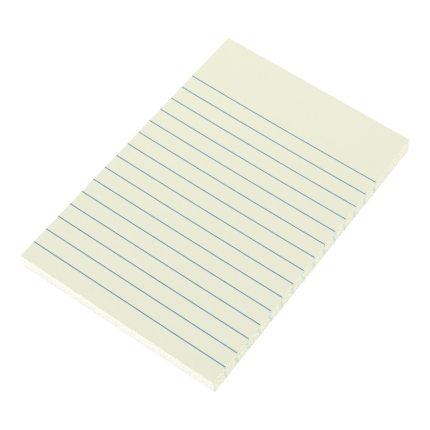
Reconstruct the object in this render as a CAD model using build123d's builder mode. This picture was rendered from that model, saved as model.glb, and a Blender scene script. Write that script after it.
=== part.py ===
"""A ruled notepad of self-stick sheets, lying flat on its backing sheet.

A hundred sheets are cut together into one block. Each is ruled from edge to edge below a blank
header band, and each carries a strip of adhesive across its back, under that band. The last
sheet's strip holds the backing sheet.

The block leans a little, as a stack does that was nudged after it was cut. The printing crept
from sheet to sheet as well, and started again with a second lot of sheets. So on both long sides
the ends of the lower sheets' lines make two faint strokes under each end of each line of the top
sheet: a short one for the first lot, and a long one for the second.

Millimetres. The origin is at the middle of the outline, on the surface that the pad lies on.
+X runs across the page, +Y up the page towards the header band, and +Z out of the top sheet.
"""

import os

from build123d import *

# Sheets
sheet_width = 101.6
sheet_length = 152.4
sheet_thickness = 0.09
sheet_count = 100

# Backing sheet, and the strip of adhesive that holds it to the last sheet
backing_thickness = 0.13
adhesive_thickness = 0.03
adhesive_length = 18.0

# How far the top sheet lies from the last one, towards -X and towards the foot of the page
lean_across = 0.32
lean_to_foot = 0.78

# Ruling: from the header edge down to the first line, then line by line for as long as the page
# leaves at least the smallest foot margin below the last one
header_band = 29.2
line_pitch = 8.166
smallest_foot_margin = 6.0
line_width = 0.45
ink_depth = 0.03

# Line ends on the long sides. Each lower sheet's line ends lie a little off its neighbours', so
# a stroke of them is wider than one line. From the second sheet down to the last they creep
# towards the header, but each of the two lots of sheets starts with a step towards the foot.
stroke_width = 1.2
creep_to_header = 1.45
first_lot_step = 0.25
second_lot_step = 1.45
first_lot_share = 0.24

# Worked out from the sizes above
block_height = sheet_count * sheet_thickness
block_floor = backing_thickness + adhesive_thickness
pad_height = block_floor + block_height
lean = Vector(-lean_across, -lean_to_foot, block_height)
last_sheet = Location((lean_across / 2, lean_to_foot / 2))
top_sheet = Location((-lean_across / 2, -lean_to_foot / 2))
ruled_length = sheet_length - header_band - smallest_foot_margin
line_count = 1 + int(ruled_length / line_pitch)
first_line = sheet_length / 2 - header_band
middle_line = first_line - (line_count - 1) * line_pitch / 2

os.makedirs("parts", exist_ok=True)


# The sheets as they leave the guillotine, before the ink is told apart from the paper
with BuildPart() as cut_stack:
    with BuildSketch(Plane.XY.offset(block_floor)):
        with Locations(last_sheet):
            Rectangle(sheet_width, sheet_length)
    extrude(amount=lean.length, dir=lean.normalized())
    left_side, *_, right_side = cut_stack.faces().sort_by(Axis.X)


# The ruling of the top sheet: ink from edge to edge, soaked a little way into the paper
with BuildPart() as ruled_lines:
    with BuildSketch(Plane.XY.offset(pad_height)):
        with Locations(top_sheet * Location((0, middle_line))):
            with GridLocations(0, line_pitch, 1, line_count):
                Rectangle(sheet_width, line_width)
    extrude(amount=ink_depth, dir=-lean.normalized())


# One line's two strokes of line ends, from the second sheet down to the last, as they lie on a
# long side. Their zero is at mid-height, in line with the top sheet's line above them.
side_height = Vector(lean_across, block_height).length
strokes_height = side_height - sheet_thickness
whole_creep = Vector(lean_to_foot + creep_to_header, -strokes_height)
first_lot_top = Vector(-first_lot_step, strokes_height - side_height / 2)
first_lot_foot = first_lot_top + whole_creep * first_lot_share
second_lot_top = first_lot_foot - Vector(second_lot_step, 0)
second_lot_foot = second_lot_top + whole_creep * (1 - first_lot_share)
half_stroke = Vector(stroke_width / 2, 0)

with BuildSketch() as strokes:
    for top, foot in ((first_lot_top, first_lot_foot), (second_lot_top, second_lot_foot)):
        Polygon(
            top - half_stroke,
            foot - half_stroke,
            foot + half_stroke,
            top + half_stroke,
            align=None,
        )


# The line ends of the lower sheets: two strokes under each end of each line, as deep as the ink
with BuildPart() as line_ends:
    for long_side, inward in ((left_side, (1, 0, 0)), (right_side, (-1, 0, 0))):
        side_plane = Plane(long_side.center(), x_dir=(0, 1, 0), z_dir=right_side.normal_at())
        with BuildSketch(side_plane):
            with Locations((middle_line - lean_to_foot / 2, 0)):
                with GridLocations(line_pitch, 0, line_count, 1):
                    add(strokes.sketch)
        extrude(amount=ink_depth, dir=inward)


# The paper of all the sheets, with the ink's places left open for it
with BuildPart() as sheet_block:
    add(cut_stack.part)
    add(ruled_lines.part, mode=Mode.SUBTRACT)
    add(line_ends.part, mode=Mode.SUBTRACT)


# The strip of adhesive on the back of the last sheet, flush with the header edge
with BuildPart() as adhesive_strip:
    with BuildSketch(Plane.XY.offset(backing_thickness)):
        with Locations(last_sheet * Location((0, sheet_length / 2))):
            Rectangle(sheet_width, adhesive_length, align=(Align.CENTER, Align.MAX))
    extrude(amount=adhesive_thickness)


# The backing sheet, cut with the block
with BuildPart() as backing_sheet:
    with BuildSketch():
        with Locations(last_sheet):
            Rectangle(sheet_width, sheet_length)
    extrude(amount=backing_thickness)


sheet_block.part.label = "sheet_block"
ruled_lines.part.label = "ruled_lines"
line_ends.part.label = "line_ends"
adhesive_strip.part.label = "adhesive_strip"
backing_sheet.part.label = "backing_sheet"

for piece in (sheet_block, ruled_lines, line_ends, adhesive_strip, backing_sheet):
    export_step(piece.part, f"parts/{piece.part.label}.step")
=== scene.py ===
"""A ruled pad of self-stick sheets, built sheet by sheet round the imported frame.

Each sheet lies on the one below it, a little to one side and a little turned, and every sheet's
printed lines end at its cut edge. The frame gives the outline, the heights and the place of the
ruling; the settings below give what only the looks need.
"""

import math
import random

import bmesh
import bpy
from mathutils import Matrix, Quaternion, Vector, noise


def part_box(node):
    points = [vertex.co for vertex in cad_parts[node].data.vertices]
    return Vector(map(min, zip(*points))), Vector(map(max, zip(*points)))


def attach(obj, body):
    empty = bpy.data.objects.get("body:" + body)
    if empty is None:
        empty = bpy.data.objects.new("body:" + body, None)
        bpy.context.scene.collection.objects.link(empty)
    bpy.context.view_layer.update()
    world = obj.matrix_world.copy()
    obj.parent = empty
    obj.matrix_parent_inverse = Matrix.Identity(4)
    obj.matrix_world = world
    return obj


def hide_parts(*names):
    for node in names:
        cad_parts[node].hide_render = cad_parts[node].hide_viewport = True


bl_info = {
    "name": "Ruled Notepad",
    "version": (1, 0, 0),
    "blender": (4, 5, 0),
    "location": "View3D > Sidebar > Notepad",
    "description": "Builds a ruled pad of self-stick sheets, with its ruling, adhesive and studio",
    "category": "Object",
}

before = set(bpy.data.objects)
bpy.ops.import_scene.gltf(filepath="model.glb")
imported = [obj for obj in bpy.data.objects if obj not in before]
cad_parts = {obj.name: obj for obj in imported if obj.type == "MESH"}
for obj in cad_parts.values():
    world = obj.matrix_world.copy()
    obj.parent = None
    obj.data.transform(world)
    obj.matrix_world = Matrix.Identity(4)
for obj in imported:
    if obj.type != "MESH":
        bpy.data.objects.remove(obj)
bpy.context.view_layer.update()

MM = 0.001

# Seeds of the chances in how the sheets lie and in how they were printed
STACK_SEED = 11
PRINT_SEED = 5

# The frame's own sizes: the block, the last sheet's outline, the ruling and the last strip
block_low, block_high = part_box("sheet_block")
backing_low, backing_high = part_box("backing_sheet")
ruling_low, ruling_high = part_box("ruled_lines")
strip_low, strip_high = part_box("adhesive_strip")

page_width, page_length = (backing_high - backing_low).xy
last_page = ((backing_low + backing_high) / 2).xy
top_page = last_page + (block_low - backing_low).xy
block_height = block_high.z - block_low.z
strip_length = strip_high.y - strip_low.y


def linear(hex_colour):
    """An sRGB hex colour as the linear red, green and blue that Blender's colours are in."""
    shares = [int(hex_colour[place : place + 2], 16) / 255 for place in (1, 3, 5)]
    return [s / 12.92 if s <= 0.04045 else ((s + 0.055) / 1.055) ** 2.4 for s in shares]


class NotepadSheetSettings(bpy.types.PropertyGroup):
    """The paper, and how the sheets lie on each other"""

    count: bpy.props.IntProperty(
        name="Sheets",
        description="How many sheets the block has",
        default=100,
        min=2,
    )
    thickness: bpy.props.FloatProperty(
        name="Thickness",
        description="One sheet's thickness, a little less than its share of the cut edge's height",
        default=0.088 * MM,
        unit="LENGTH",
    )
    dish: bpy.props.FloatProperty(
        name="Dish",
        description="How far the top sheet's middle lies below its cut edges",
        default=0.633 * MM,
        unit="LENGTH",
    )
    turn: bpy.props.FloatProperty(
        name="Turn",
        description="How far the top sheet is turned from the last one",
        default=math.radians(-0.196),
        subtype="ANGLE",
    )
    wander: bpy.props.FloatProperty(
        name="Wander",
        description="How far the stack's sides wander off a straight line, slowly up the stack",
        default=0.02 * MM,
        unit="LENGTH",
    )
    shake: bpy.props.FloatProperty(
        name="Shake",
        description="How far one sheet's edge lies off its neighbours'",
        default=0.004 * MM,
        unit="LENGTH",
    )
    paper: bpy.props.FloatVectorProperty(
        name="Paper",
        description="The dyed paper's colour",
        default=linear("#EAEBD5"),
        subtype="COLOR",
    )
    cut_paper: bpy.props.FloatVectorProperty(
        name="Cut Edge",
        description="The same paper's colour where the blade went through it",
        default=linear("#EFF0DC"),
        subtype="COLOR",
    )


class NotepadRulingSettings(bpy.types.PropertyGroup):
    """The printed lines, and how their ends creep from sheet to sheet"""

    line_count: bpy.props.IntProperty(
        name="Lines",
        description="How many lines each sheet has",
        default=15,
        min=2,
    )
    line_width: bpy.props.FloatProperty(
        name="Line Width",
        description="The printed lines' width",
        default=0.45 * MM,
        unit="LENGTH",
    )
    waver: bpy.props.FloatProperty(
        name="Waver",
        description="How far a line's two edges waver where the ink spreads along the fibres",
        default=0.012 * MM,
        unit="LENGTH",
    )
    soak: bpy.props.FloatProperty(
        name="Soak",
        description="How deep the ink goes into the paper",
        default=0.042 * MM,
        unit="LENGTH",
    )
    end_width: bpy.props.FloatProperty(
        name="End Width",
        description="The width of the tint that one line of a lower sheet leaves on the cut edge",
        default=1.0 * MM,
        unit="LENGTH",
    )
    creep: bpy.props.FloatProperty(
        name="Creep",
        description="How far towards the header the printing creeps, from the top sheet down",
        default=1.45 * MM,
        unit="LENGTH",
    )
    top_step: bpy.props.FloatProperty(
        name="Top Step",
        description="How far towards the foot the second sheet's printing lies off the top one's",
        default=0.25 * MM,
        unit="LENGTH",
    )
    lot_step: bpy.props.FloatProperty(
        name="Lot Step",
        description="How far towards the foot the second lot's printing lies off the first lot's",
        default=1.45 * MM,
        unit="LENGTH",
    )
    first_lot_share: bpy.props.FloatProperty(
        name="First Lot Share",
        description="The share of the sheets that are of the first lot, on top of the second",
        default=0.24,
        min=0,
        max=1,
        subtype="FACTOR",
    )
    print_shake: bpy.props.FloatProperty(
        name="Print Shake",
        description="How far at most one sheet's printing lies off its place in that creep",
        default=1.02 * MM,
        unit="LENGTH",
    )
    ink: bpy.props.FloatVectorProperty(
        name="Ink",
        description="The ruling ink's colour on this paper",
        default=linear("#1E75AA"),
        subtype="COLOR",
    )
    cut_ink: bpy.props.FloatVectorProperty(
        name="Cut Ink",
        description="The tint's colour, where the blade drew the ink out over the cut fibres",
        default=linear("#C8D9D6"),
        subtype="COLOR",
    )


class NotepadGlueSettings(bpy.types.PropertyGroup):
    """The adhesive on the sheets' backs, and the backing sheet"""

    adhesive: bpy.props.FloatVectorProperty(
        name="Adhesive",
        description="The clear adhesive's colour on the paper",
        default=linear("#E6E5CE"),
        subtype="COLOR",
    )
    backing: bpy.props.FloatVectorProperty(
        name="Backing",
        description="The backing sheet's colour",
        default=linear("#EEEEE9"),
        subtype="COLOR",
    )


class NotepadStageSettings(bpy.types.PropertyGroup):
    """The sky's light, and where the camera stands"""

    sky: bpy.props.FloatProperty(
        name="Sky",
        description="The light that comes evenly from all round",
        default=0.73,
    )
    azimuth: bpy.props.FloatProperty(
        name="Azimuth",
        description="How far round to the right of the pad's foot the camera stands",
        default=math.radians(34.412),
        subtype="ANGLE",
    )
    elevation: bpy.props.FloatProperty(
        name="Elevation",
        description="How far down the camera looks",
        default=math.radians(56.573),
        subtype="ANGLE",
    )
    roll: bpy.props.FloatProperty(
        name="Roll",
        description="How far the camera leans to its left",
        default=math.radians(1.69),
        subtype="ANGLE",
    )
    distance: bpy.props.FloatProperty(
        name="Distance",
        description="From the camera to the point that it looks at",
        default=602.03 * MM,
        unit="LENGTH",
    )
    aim: bpy.props.FloatVectorProperty(
        name="Aim",
        description="The point that the camera looks at",
        default=(1.836 * MM, -7.692 * MM, 4.58 * MM),
        subtype="TRANSLATION",
        unit="LENGTH",
    )
    lens: bpy.props.FloatProperty(
        name="Focal Length",
        description="The camera's focal length in millimetres",
        default=114.313,
    )


# Meshes


def add_slab(bm, across, along, upper, lower, wall_slot=0):
    """Adds a thin closed slab over a grid, from lower(x, y) up to upper(x, y)."""
    tops = [[bm.verts.new(upper(x, y)) for x in across] for y in along]
    backs = [[bm.verts.new(lower(x, y)) for x in across] for y in along]
    for row in range(len(along) - 1):
        for column in range(len(across) - 1):
            corners = [(row, column), (row, column + 1), (row + 1, column + 1), (row + 1, column)]
            for grid, order in ((tops, corners), (backs, corners[::-1])):
                face = bm.faces.new([grid[r][c] for r, c in order])
                face.smooth = True
    last_row, last_column = len(along) - 1, len(across) - 1
    rim = [(0, column) for column in range(last_column)]
    rim += [(row, last_column) for row in range(last_row)]
    rim += [(last_row, column) for column in range(last_column, 0, -1)]
    rim += [(row, 0) for row in range(last_row, 0, -1)]
    for (row, column), (next_row, next_column) in zip(rim, rim[1:] + rim[:1]):
        wall = bm.faces.new(
            (
                tops[row][column],
                backs[row][column],
                backs[next_row][next_column],
                tops[next_row][next_column],
            )
        )
        wall.material_index = wall_slot
        for edge in wall.edges:
            edge.smooth = False


def add_piece(name, bm, materials, stands_for):
    """Turns a bmesh into a named piece that rides on the pad's one body."""
    old = bpy.data.objects.get(name)
    if old is not None:
        bpy.data.objects.remove(old)
    mesh = bpy.data.meshes.new(name)
    bm.to_mesh(mesh)
    bm.free()
    for material in materials:
        mesh.materials.append(material)
    piece = bpy.data.objects.new(name, mesh)
    bpy.context.scene.collection.objects.link(piece)
    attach(piece, "root")
    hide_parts(*stands_for)


def steps(low, high, count):
    """Evenly spaced values from low to high, both ends included."""
    return [low + (high - low) * step / count for step in range(count + 1)]


# The stack


def sheet_pitch(sheets):
    """From one sheet's underside to the next one's, at the cut edges."""
    return block_height / sheets.count


def wander_at(share, wave_counts, phases):
    """Two slow waves added up, at a share of the way from the last sheet to the top one."""
    first, second = (
        math.sin(math.tau * waves * share + phase) for waves, phase in zip(wave_counts, phases)
    )
    return first + second


def sheet_places(sheets):
    """Where each sheet lies, from the last one up: its middle, its turn and its height."""
    waves_across = (1.3, 3.1)
    waves_along = (1.7, 2.6)
    chance = random.Random(STACK_SEED)
    phases = [chance.uniform(0, math.tau) for _ in waves_across + waves_along]
    places = []
    for number in range(sheets.count):
        share = number / (sheets.count - 1)
        slow = Vector(
            (
                wander_at(share, waves_across, phases[:2]),
                wander_at(share, waves_along, phases[2:]),
            )
        )
        quick = Vector((chance.uniform(-1, 1), chance.uniform(-1, 1)))
        # The last and the top sheet lie where the frame says, and the middle one is the freest
        free = 4 * share * (1 - share)
        jog = free * (sheets.wander * slow + sheets.shake * quick)
        middle = last_page.lerp(top_page, share) + jog
        height = block_low.z + number * sheet_pitch(sheets)
        turned = Matrix.Rotation(sheets.turn * share, 4, "Z")
        places.append(Matrix.Translation((middle.x, middle.y, height)) @ turned)
    return places


def dish_depth(sheets, below, x, y):
    """How far the dish lowers a point with that many sheets below it: nothing at the edges."""
    from_side = 1 - (2 * x / page_width) ** 2
    from_header = 0.5 - y / page_length
    # This product is 4/27 at its highest, a third of the way down the page
    down_the_page = 27 / 4 * from_header * (1 - from_header) ** 2
    return sheets.dish * below / sheets.count * max(from_side, 0) * max(down_the_page, 0)


def under_sheet(sheets, places, number, x, y, lift=0):
    """The point on a sheet's underside at x and y of its own page, lifted if need be."""
    return places[number] @ Vector((x, y, lift - dish_depth(sheets, number, x, y)))


def over_sheet(sheets, places, number, x, y, lift=0):
    """The point on its upper side, which has sunk as far as the next sheet's underside."""
    height = sheets.thickness + lift - dish_depth(sheets, number + 1, x, y)
    return places[number] @ Vector((x, y, height))


def add_sheet(bm, sheets, places, number, cells_across, cells_along):
    """Adds one sheet of paper, flat on the one below it."""
    add_slab(
        bm,
        steps(-page_width / 2, page_width / 2, cells_across),
        steps(-page_length / 2, page_length / 2, cells_along),
        lambda x, y: over_sheet(sheets, places, number, x, y),
        lambda x, y: under_sheet(sheets, places, number, x, y),
        wall_slot=1,
    )


def line_places(ruling):
    """Each line's y on its own page, from the first one down."""
    first = ruling_high.y - ruling.line_width / 2 - top_page.y
    last = ruling_low.y + ruling.line_width / 2 - top_page.y
    return steps(first, last, ruling.line_count - 1)


def print_creeps(sheets, ruling):
    """How far towards the header each sheet's printing lies off the top one's, from the last up."""
    chance = random.Random(PRINT_SEED)
    golden_share = (math.sqrt(5) - 1) / 2
    even_part = 0.9
    chance_part = 0.1
    creeps = []
    for number in range(sheets.count):
        depth = 1 - number / (sheets.count - 1)
        creep = ruling.creep * depth - ruling.top_step
        if depth > ruling.first_lot_share:
            creep -= ruling.lot_step
        # Steps of a golden share keep neighbours well apart, so a streak has no gaps or clumps, and
        # the root gathers more of them in its middle than at its sides
        evenly = 2 * (number * golden_share % 1) - 1
        gathered = math.copysign(1 - math.sqrt(1 - abs(evenly)), evenly)
        shake = even_part * gathered + chance_part * chance.uniform(-1, 1)
        creeps.append(creep + ruling.print_shake * shake)
    return creeps


# Materials


# A Mix node has sockets of the same names for numbers and for colours, so the colours' sockets
# are called by their numbers
MIX_A, MIX_B, MIX_RESULT = 6, 7, 2


def add_node(material, kind, inputs=(), **settings):
    """Adds a node to a material or world, sets it, and fills its inputs with values or links.

    An input is called by its name, or by its number where several share a name.
    """
    tree = material.node_tree
    node = tree.nodes.new(kind)
    for name, value in settings.items():
        setattr(node, name, value)
    for socket, value in dict(inputs).items():
        if isinstance(value, bpy.types.NodeSocket):
            tree.links.new(value, node.inputs[socket])
        else:
            node.inputs[socket].default_value = value
    return node


def new_material(name):
    """An empty node material, or the one of that name, emptied."""
    material = bpy.data.materials.get(name) or bpy.data.materials.new(name)
    material.use_nodes = True
    material.node_tree.nodes.clear()
    return material


def shade(colour, share):
    """A colour made lighter or darker by a share, as a node's colour value."""
    return (*[channel * share for channel in colour], 1)


def bond_paper(sheets):
    """Uncoated woodfree bond paper, dyed in the pulp: dead matt and faintly cloudy."""
    material = new_material("uncoated_bond_paper")
    place = add_node(material, "ShaderNodeTexCoord").outputs["Object"]
    # Formation: the pulp settles into clouds some 6 mm across
    clouds = add_node(
        material,
        "ShaderNodeTexNoise",
        {"Vector": place, "Scale": 1 / (6 * MM), "Detail": 3.0, "Roughness": 0.6},
    )
    # Fibres: 0.03 mm wide in truth, drawn 0.4 mm wide so that they show as a faint tooth
    fibres = add_node(
        material,
        "ShaderNodeTexNoise",
        {
            "Vector": place,
            "Scale": 1 / (0.4 * MM),
            "Detail": 4.0,
            "Roughness": 0.7,
            "Distortion": 0.6,
        },
    )
    tone = add_node(
        material,
        "ShaderNodeMix",
        {"Factor": 0.35, "A": clouds.outputs["Fac"], "B": fibres.outputs["Fac"]},
        data_type="FLOAT",
    )
    colour = add_node(
        material,
        "ShaderNodeMix",
        {
            "Factor": tone.outputs["Result"],
            MIX_A: shade(sheets.paper, 0.975),
            MIX_B: shade(sheets.paper, 1.025),
        },
        data_type="RGBA",
    )
    tooth = add_node(
        material,
        "ShaderNodeBump",
        {"Height": fibres.outputs["Fac"], "Strength": 0.25, "Distance": 0.01 * MM},
    )
    surface = add_node(
        material,
        "ShaderNodeBsdfPrincipled",
        {
            "Base Color": colour.outputs[MIX_RESULT],
            "Roughness": 0.92,
            "Specular IOR Level": 0.25,
            "Normal": tooth.outputs["Normal"],
        },
    )
    add_node(material, "ShaderNodeOutputMaterial", {"Surface": surface.outputs["BSDF"]})
    return material


def cut_edge_paper(sheets):
    """The same paper cut by a guillotine: paler where its fibres are cut, and faintly banded."""
    material = new_material("guillotined_paper_edge")
    place = add_node(material, "ShaderNodeTexCoord").outputs["Object"]
    # Sheets from different reels differ in shade; one sheet is too thin to show, so each band is
    # as thick as ten of them
    bands = add_node(
        material,
        "ShaderNodeMapping",
        {"Vector": place, "Scale": (1 / (60 * MM), 1 / (60 * MM), 1 / (0.9 * MM))},
    )
    reels = add_node(
        material,
        "ShaderNodeTexNoise",
        {"Vector": bands.outputs["Vector"], "Scale": 1.0, "Detail": 2.0},
    )
    # The blade's nicks run down through the whole block, some 0.7 mm apart
    nicks_place = add_node(
        material,
        "ShaderNodeMapping",
        {"Vector": place, "Scale": (1 / (0.7 * MM), 1 / (0.7 * MM), 1 / (25 * MM))},
    )
    nicks = add_node(
        material,
        "ShaderNodeTexNoise",
        {"Vector": nicks_place.outputs["Vector"], "Scale": 1.0, "Detail": 2.0},
    )
    tone = add_node(
        material,
        "ShaderNodeMix",
        {"Factor": 0.4, "A": reels.outputs["Fac"], "B": nicks.outputs["Fac"]},
        data_type="FLOAT",
    )
    colour = add_node(
        material,
        "ShaderNodeMix",
        {
            "Factor": tone.outputs["Result"],
            MIX_A: shade(sheets.cut_paper, 0.99),
            MIX_B: shade(sheets.cut_paper, 1.01),
        },
        data_type="RGBA",
    )
    surface = add_node(
        material,
        "ShaderNodeBsdfPrincipled",
        {"Base Color": colour.outputs[MIX_RESULT], "Roughness": 0.95, "Specular IOR Level": 0.2},
    )
    add_node(material, "ShaderNodeOutputMaterial", {"Surface": surface.outputs["BSDF"]})
    return material


def offset_ink(name, ink, paper):
    """Blue offset ink soaked into uncoated paper: matt, and thinner where a fibre stands up."""
    material = new_material(name)
    place = add_node(material, "ShaderNodeTexCoord").outputs["Object"]
    # The ink misses the tops of fibres, in spots of about 0.25 mm
    spots = add_node(
        material,
        "ShaderNodeTexNoise",
        {"Vector": place, "Scale": 1 / (0.25 * MM), "Detail": 3.0, "Roughness": 0.6},
    )
    bare = add_node(
        material,
        "ShaderNodeMapRange",
        {
            "Value": spots.outputs["Fac"],
            "From Min": 0.5,
            "From Max": 0.8,
            "To Min": 0.0,
            "To Max": 0.35,
        },
    )
    colour = add_node(
        material,
        "ShaderNodeMix",
        {"Factor": bare.outputs["Result"], MIX_A: shade(ink, 1), MIX_B: shade(paper, 1)},
        data_type="RGBA",
    )
    surface = add_node(
        material,
        "ShaderNodeBsdfPrincipled",
        {"Base Color": colour.outputs[MIX_RESULT], "Roughness": 0.85, "Specular IOR Level": 0.25},
    )
    add_node(material, "ShaderNodeOutputMaterial", {"Surface": surface.outputs["BSDF"]})
    return material


def low_tack_adhesive(glue):
    """A sprayed coat of clear acrylic beads: satin, and pebbled by the beads."""
    material = new_material("low_tack_acrylic_adhesive")
    place = add_node(material, "ShaderNodeTexCoord").outputs["Object"]
    # The beads are 0.05 mm across, drawn 0.3 mm across so that their pebbling shows
    beads = add_node(material, "ShaderNodeTexVoronoi", {"Vector": place, "Scale": 1 / (0.3 * MM)})
    colour = add_node(
        material,
        "ShaderNodeMix",
        {
            "Factor": beads.outputs["Distance"],
            MIX_A: shade(glue.adhesive, 1.02),
            MIX_B: shade(glue.adhesive, 0.96),
        },
        data_type="RGBA",
    )
    pebbles = add_node(
        material,
        "ShaderNodeBump",
        {"Height": beads.outputs["Distance"], "Strength": 0.4, "Distance": 0.02 * MM},
    )
    surface = add_node(
        material,
        "ShaderNodeBsdfPrincipled",
        {
            "Base Color": colour.outputs[MIX_RESULT],
            "Roughness": 0.45,
            "Normal": pebbles.outputs["Normal"],
        },
    )
    add_node(material, "ShaderNodeOutputMaterial", {"Surface": surface.outputs["BSDF"]})
    return material


def backing_paper(glue):
    """Calendered off-white backing paper: smoother than the sheets, with a slight sheen."""
    material = new_material("calendered_backing_paper")
    place = add_node(material, "ShaderNodeTexCoord").outputs["Object"]
    # Formation clouds of some 4 mm, fainter than in the sheets
    clouds = add_node(
        material,
        "ShaderNodeTexNoise",
        {"Vector": place, "Scale": 1 / (4 * MM), "Detail": 4.0, "Roughness": 0.6},
    )
    colour = add_node(
        material,
        "ShaderNodeMix",
        {
            "Factor": clouds.outputs["Fac"],
            MIX_A: shade(glue.backing, 0.98),
            MIX_B: shade(glue.backing, 1.02),
        },
        data_type="RGBA",
    )
    sheen = add_node(
        material,
        "ShaderNodeMapRange",
        {"Value": clouds.outputs["Fac"], "To Min": 0.5, "To Max": 0.62},
    )
    surface = add_node(
        material,
        "ShaderNodeBsdfPrincipled",
        {"Base Color": colour.outputs[MIX_RESULT], "Roughness": sheen.outputs["Result"]},
    )
    add_node(material, "ShaderNodeOutputMaterial", {"Surface": surface.outputs["BSDF"]})
    return material


def seen_by_camera(material):
    """One for a ray that shows the backdrop: from the camera, or off gloss, or through glass."""
    path = add_node(material, "ShaderNodeLightPath")
    seen = path.outputs["Is Camera Ray"]
    for ray in ("Is Glossy Ray", "Is Transmission Ray"):
        seen = add_node(
            material, "ShaderNodeMath", {0: seen, 1: path.outputs[ray]}, operation="MAXIMUM"
        ).outputs["Value"]
    return seen


def white_table(shadow_share):
    """A white painted table top, seen burnt out to white with a share of its shadow left."""
    material = new_material("white_painted_table")
    # A little over the white that the picture can hold
    burnt_out = 1.03
    bounce = add_node(material, "ShaderNodeBsdfDiffuse", {"Color": shade(linear("#DADADA"), 1)})
    shadow = add_node(material, "ShaderNodeBsdfDiffuse", {"Color": shade((1, 1, 1), shadow_share)})
    glow = add_node(material, "ShaderNodeEmission", {"Strength": burnt_out - shadow_share})
    both = add_node(
        material, "ShaderNodeAddShader", {0: shadow.outputs["BSDF"], 1: glow.outputs["Emission"]}
    )
    surface = add_node(
        material,
        "ShaderNodeMixShader",
        {"Fac": seen_by_camera(material), 1: bounce.outputs["BSDF"], 2: both.outputs["Shader"]},
    )
    add_node(material, "ShaderNodeOutputMaterial", {"Surface": surface.outputs["Shader"]})
    return material


# The stage


def add_lamp(name, place, size, power, colour):
    """Adds a soft rectangular lamp that faces the pad and isn't seen itself."""
    lamp = bpy.data.lights.new(name, "AREA")
    lamp.shape = "RECTANGLE"
    lamp.size, lamp.size_y = size
    lamp.energy = power
    lamp.color = colour
    holder = bpy.data.objects.new(name, lamp)
    holder.location = place
    holder.rotation_euler = (-Vector(place)).to_track_quat("-Z", "Y").to_euler()
    holder.visible_camera = False
    bpy.context.scene.collection.objects.link(holder)


def add_sky(strength):
    """An even white sky, which the camera sees as plain white."""
    world = bpy.data.worlds.new("even_white_sky")
    world.use_nodes = True
    world.node_tree.nodes.clear()
    light = add_node(world, "ShaderNodeBackground", {"Strength": strength})
    backdrop = add_node(world, "ShaderNodeBackground", {"Strength": 1.0})
    for background in (light, backdrop):
        background.inputs["Color"].default_value = (1, 1, 1, 1)
    mixed = add_node(
        world,
        "ShaderNodeMixShader",
        {
            "Fac": seen_by_camera(world),
            1: light.outputs["Background"],
            2: backdrop.outputs["Background"],
        },
    )
    add_node(world, "ShaderNodeOutputWorld", {"Surface": mixed.outputs["Shader"]})
    bpy.context.scene.world = world


def add_camera(stage):
    """Stands the camera where the photograph was taken from."""
    data = bpy.data.cameras.new("camera")
    data.lens = stage.lens
    data.clip_start = 0.01
    data.clip_end = 50
    camera = bpy.data.objects.new("camera", data)
    back = Vector(
        (
            math.sin(stage.azimuth) * math.cos(stage.elevation),
            -math.cos(stage.azimuth) * math.cos(stage.elevation),
            math.sin(stage.elevation),
        )
    )
    camera.location = Vector(stage.aim) + back * stage.distance
    camera.rotation_mode = "QUATERNION"
    level = (-back).to_track_quat("-Z", "Y")
    camera.rotation_quaternion = level @ Quaternion((0, 0, 1), stage.roll)
    bpy.context.scene.collection.objects.link(camera)
    bpy.context.scene.camera = camera


# Operators


class NOTEPAD_OT_lower_sheets(bpy.types.Operator):
    """Stack the sheets below the top one, each a closed sheet of its own"""

    bl_idname = "notepad.lower_sheets"
    bl_label = "Stack Lower Sheets"

    def execute(self, context):
        sheets = context.scene.notepad_sheets
        places = sheet_places(sheets)
        bm = bmesh.new()
        for number in range(sheets.count - 1):
            add_sheet(bm, sheets, places, number, cells_across=10, cells_along=16)
        add_piece(
            "lower_sheets",
            bm,
            (bond_paper(sheets), cut_edge_paper(sheets)),
            ["sheet_block"],
        )
        return {"FINISHED"}


class NOTEPAD_OT_top_sheet(bpy.types.Operator):
    """Lay the top sheet, finely enough for its dish to look smooth"""

    bl_idname = "notepad.top_sheet"
    bl_label = "Lay Top Sheet"

    def execute(self, context):
        sheets = context.scene.notepad_sheets
        bm = bmesh.new()
        add_sheet(
            bm, sheets, sheet_places(sheets), sheets.count - 1, cells_across=50, cells_along=76
        )
        add_piece(
            "top_sheet",
            bm,
            (bond_paper(sheets), cut_edge_paper(sheets)),
            ["sheet_block"],
        )
        return {"FINISHED"}


class NOTEPAD_OT_ruling(bpy.types.Operator):
    """Print the top sheet's lines, from one cut edge to the other"""

    bl_idname = "notepad.ruling"
    bl_label = "Print Ruling"

    def execute(self, context):
        sheets = context.scene.notepad_sheets
        ruling = context.scene.notepad_ruling
        places = sheet_places(sheets)
        top = sheets.count - 1
        raised = 0.004 * MM
        waver_length = 1.5 * MM
        cells_across = 100
        across = steps(-page_width / 2 - raised, page_width / 2 + raised, cells_across)
        bm = bmesh.new()
        for line in line_places(ruling):

            def ink_point(x, side, lift):
                spot = Vector((x, line, side * MM)) / waver_length
                y = line + side * ruling.line_width / 2 + ruling.waver * noise.noise(spot)
                return over_sheet(sheets, places, top, x, y, lift)

            add_slab(
                bm,
                across,
                (-1, 1),
                lambda x, side: ink_point(x, side, raised),
                lambda x, side: ink_point(x, side, -ruling.soak),
            )
        ink = offset_ink("offset_ruling_ink", ruling.ink, sheets.paper)
        add_piece("ruling", bm, [ink], ["ruled_lines"])
        return {"FINISHED"}


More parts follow.
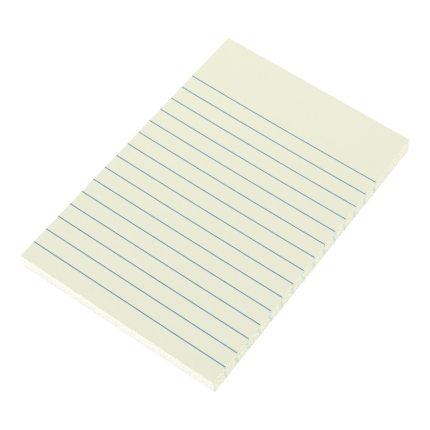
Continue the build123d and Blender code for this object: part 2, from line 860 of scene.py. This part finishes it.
class NOTEPAD_OT_line_ends(bpy.types.Operator):
    """Set the ends of the lower sheets' lines into the long cut sides"""

    bl_idname = "notepad.line_ends"
    bl_label = "Set Line Ends"

    def execute(self, context):
        sheets = context.scene.notepad_sheets
        ruling = context.scene.notepad_ruling
        places = sheet_places(sheets)
        creeps = print_creeps(sheets, ruling)
        proud = 0.003 * MM
        inside = 0.25 * MM
        # One line's own end is too fine to show: its tint is drawn wider than the line and paler
        half_end = ruling.end_width / 2
        bm = bmesh.new()
        for number in range(sheets.count - 1):
            for line in line_places(ruling):
                middle = line + creeps[number]
                along = (middle - half_end, middle + half_end)
                for side in (-1, 1):
                    edge = side * page_width / 2
                    across = sorted((edge - side * inside, edge + side * proud))
                    add_slab(
                        bm,
                        across,
                        along,
                        lambda x, y: over_sheet(sheets, places, number, x, y),
                        lambda x, y: under_sheet(sheets, places, number, x, y),
                    )
        ink = offset_ink("offset_ink_at_cut_edge", ruling.cut_ink, sheets.cut_paper)
        add_piece("line_end_marks", bm, [ink], ["line_ends"])
        return {"FINISHED"}


class NOTEPAD_OT_adhesive_films(bpy.types.Operator):
    """Fill the room between the sheets with adhesive, under the header band"""

    bl_idname = "notepad.adhesive_films"
    bl_label = "Coat Adhesive Films"

    def execute(self, context):
        sheets = context.scene.notepad_sheets
        places = sheet_places(sheets)
        room = sheet_pitch(sheets) - sheets.thickness
        cells_across, cells_along = 10, 2
        across = steps(-page_width / 2, page_width / 2, cells_across)
        along = steps(page_length / 2 - strip_length, page_length / 2, cells_along)
        bm = bmesh.new()
        for number in range(1, sheets.count):
            add_slab(
                bm,
                across,
                along,
                lambda x, y: under_sheet(sheets, places, number, x, y),
                lambda x, y: under_sheet(sheets, places, number, x, y, -room),
            )
        glue = context.scene.notepad_glue
        add_piece("adhesive_films", bm, [low_tack_adhesive(glue)], ["sheet_block"])
        return {"FINISHED"}


class NOTEPAD_OT_backing(bpy.types.Operator):
    """Finish the backing sheet and the last strip of adhesive, which are the frame's own"""

    bl_idname = "notepad.backing"
    bl_label = "Finish Backing"

    def execute(self, context):
        glue = context.scene.notepad_glue
        finishes = {
            "adhesive_strip": low_tack_adhesive(glue),
            "backing_sheet": backing_paper(glue),
        }
        for name, material in finishes.items():
            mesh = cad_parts[name].data
            mesh.materials.clear()
            mesh.materials.append(material)
        return {"FINISHED"}


class NOTEPAD_OT_stage(bpy.types.Operator):
    """Set up the white table, the sky, the lamps and the camera"""

    bl_idname = "notepad.stage"
    bl_label = "Set Up Stage"

    def execute(self, context):
        stage = context.scene.notepad_stage
        # A round table, wide enough to fill a view down on it, a hair below the pad's underside
        table_radius = 6
        gap = 0.02 * MM
        bm = bmesh.new()
        bmesh.ops.create_circle(bm, cap_ends=True, segments=96, radius=table_radius)
        bmesh.ops.translate(bm, verts=bm.verts, vec=(0, 0, -gap))
        table = bpy.data.meshes.new("table")
        bm.to_mesh(table)
        bm.free()
        table.materials.append(white_table(shadow_share=0.12))
        top = bpy.data.objects.new("table", table)
        context.scene.collection.objects.link(top)
        add_sky(stage.sky)
        # The overhead softbox stands towards the header and the left, so the page's tone falls
        # off a little towards its foot and its right side
        add_lamp(
            "overhead_softbox",
            place=(-0.33, 0.36, 0.85),
            size=(0.5, 0.5),
            power=2.9,
            colour=(1, 1, 1),
        )
        # Two long low ones light the cut sides at the foot and on the right, and graze the page
        add_lamp(
            "front_softbox",
            place=(-0.2, -0.9, 0.045),
            size=(0.9, 0.08),
            power=4.25,
            colour=(0.74, 0.72, 0.96),
        )
        add_lamp(
            "right_softbox",
            place=(0.9, -0.1, 0.045),
            size=(0.9, 0.08),
            power=2.85,
            colour=(1, 0.98, 0.96),
        )
        add_camera(stage)
        context.scene.view_settings.view_transform = "Standard"
        return {"FINISHED"}


class NOTEPAD_PT_pad(bpy.types.Panel):
    """The notepad's settings, and the steps that build it"""

    bl_idname = "NOTEPAD_PT_pad"
    bl_label = "Ruled Notepad"
    bl_space_type = "VIEW_3D"
    bl_region_type = "UI"
    bl_category = "Notepad"

    def draw(self, context):
        layout = self.layout
        for group in SETTINGS:
            box = layout.box()
            settings = getattr(context.scene, group)
            for name in settings.__annotations__:
                box.prop(settings, name)
        for operator in OPERATORS:
            layout.operator(operator.bl_idname)


SETTINGS = {
    "notepad_sheets": NotepadSheetSettings,
    "notepad_ruling": NotepadRulingSettings,
    "notepad_glue": NotepadGlueSettings,
    "notepad_stage": NotepadStageSettings,
}
OPERATORS = (
    NOTEPAD_OT_lower_sheets,
    NOTEPAD_OT_top_sheet,
    NOTEPAD_OT_ruling,
    NOTEPAD_OT_line_ends,
    NOTEPAD_OT_adhesive_films,
    NOTEPAD_OT_backing,
    NOTEPAD_OT_stage,
)


def register():
    for group, settings in SETTINGS.items():
        bpy.utils.register_class(settings)
        setattr(bpy.types.Scene, group, bpy.props.PointerProperty(type=settings))
    for operator in OPERATORS:
        bpy.utils.register_class(operator)
    bpy.utils.register_class(NOTEPAD_PT_pad)


def unregister():
    bpy.utils.unregister_class(NOTEPAD_PT_pad)
    for operator in reversed(OPERATORS):
        bpy.utils.unregister_class(operator)
    for group, settings in SETTINGS.items():
        delattr(bpy.types.Scene, group)
        bpy.utils.unregister_class(settings)


def main():
    register()
    bpy.ops.notepad.lower_sheets()
    bpy.ops.notepad.top_sheet()
    bpy.ops.notepad.ruling()
    bpy.ops.notepad.line_ends()
    bpy.ops.notepad.adhesive_films()
    bpy.ops.notepad.backing()
    bpy.ops.notepad.stage()
    bpy.context.view_layer.update()


if __name__ == "__main__":
    main()
